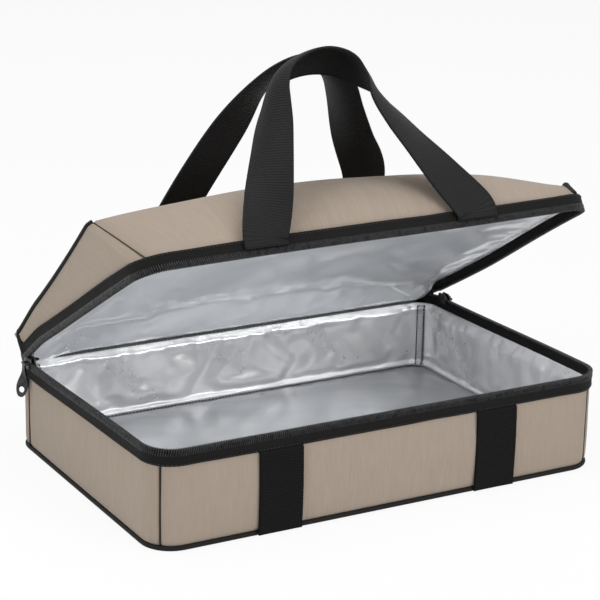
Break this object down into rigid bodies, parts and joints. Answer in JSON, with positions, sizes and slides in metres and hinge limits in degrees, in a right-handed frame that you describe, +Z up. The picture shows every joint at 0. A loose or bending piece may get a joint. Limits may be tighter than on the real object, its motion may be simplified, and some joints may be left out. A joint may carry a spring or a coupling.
{
  "type": "insulated delivery bag",
  "caption": "Low insulated food delivery bag: padded tray with foil lining, zipped lid on a fabric hinge shown part open, and webbing carry handles on the lid.",
  "frame": {"origin": "centre of the tray's underside, where the bag stands", "axes": "+X to the right along the bag's length, +Y from the front to the hinge at the back, +Z up"},
  "size_m": [0.429, 0.288, 0.3593],
  "materials": {
    "taupe_fabric": "matte",
    "black_tape": "matte",
    "webbing": "matte",
    "foam": "matte",
    "foil": "gloss",
    "black_plastic": "satin",
    "gunmetal": "satin"
  },
  "bodies": {
    "base": {"base_bottom_panel": "taupe_fabric", "base_bottom_foam": "foam", "base_floor_board": "black_plastic", "base_floor_lining": "foil", "base_bottom_piping": "black_tape", "base_front_panel": "taupe_fabric", "base_front_foam": "foam", "base_front_lining": "foil", "base_right_panel": "taupe_fabric", "base_right_foam": "foam", "base_right_lining": "foil", "base_back_panel": "taupe_fabric", "base_back_foam": "foam", "base_back_lining": "foil", "base_left_panel": "taupe_fabric", "base_left_foam": "foam", "base_left_lining": "foil", "base_zip_tape": "black_tape", "base_zip_chain": "black_plastic", "base_hinge_leaf": "black_tape", "base_front_left_strap": "webbing", "base_front_right_strap": "webbing", "base_back_left_strap": "webbing", "base_back_right_strap": "webbing", "left_zip_end_tab": "black_tape", "right_zip_end_tab": "black_tape"},
    "lid": {"lid_top_panel": "taupe_fabric", "lid_top_foam": "foam", "lid_top_lining": "foil", "lid_top_piping": "black_tape", "lid_front_panel": "taupe_fabric", "lid_front_foam": "foam", "lid_front_lining": "foil", "lid_right_panel": "taupe_fabric", "lid_right_foam": "foam", "lid_right_lining": "foil", "lid_back_panel": "taupe_fabric", "lid_left_panel": "taupe_fabric", "lid_left_foam": "foam", "lid_left_lining": "foil", "lid_zip_tape": "black_tape", "lid_zip_chain": "black_plastic", "lid_hinge_leaf": "black_tape", "front_handle_left_tail": "webbing", "front_handle_right_tail": "webbing", "back_handle_left_tail": "webbing", "back_handle_right_tail": "webbing"},
    "front_handle_loop": {"front_handle": "webbing"},
    "back_handle_loop": {"back_handle": "webbing"},
    "left_slider": {"left_zip_slider": "gunmetal"},
    "right_slider": {"right_zip_slider": "gunmetal"},
    "left_pull": {"left_pull_tab": "gunmetal"},
    "right_pull": {"right_pull_tab": "gunmetal"}
  },
  "joints": [
    {"name": "lid_hinge", "type": "hinge", "parent": "base", "child": "lid", "pos_m": [0, 0.1375, 0.08], "axis": [-1, 0, 0], "range_deg": [-30, 85]},
    {"name": "front_handle_swing", "type": "hinge", "parent": "lid", "child": "front_handle_loop", "pos_m": [0, -0.09731, 0.22989], "axis": [1, 0, 0], "range_deg": [0, 165]},
    {"name": "back_handle_swing", "type": "hinge", "parent": "lid", "child": "back_handle_loop", "pos_m": [0, 0.09328, 0.15815], "axis": [1, 0, 0], "range_deg": [-140, 0]},
    {"name": "left_slider_run", "type": "slide", "parent": "base", "child": "left_slider", "axis": [0, -1, 0], "range_m": [0, 0.2]},
    {"name": "right_slider_run", "type": "slide", "parent": "base", "child": "right_slider", "axis": [0, -1, 0], "range_m": [0, 0.2]},
    {"name": "left_pull_swing", "type": "hinge", "parent": "left_slider", "child": "left_pull", "pos_m": [-0.2123, 0.105, 0.08], "axis": [0, 1, 0], "range_deg": [-6, 160]},
    {"name": "right_pull_swing", "type": "hinge", "parent": "right_slider", "child": "right_pull", "pos_m": [0.2123, 0.105, 0.08], "axis": [0, -1, 0], "range_deg": [-6, 160]}
  ]
}
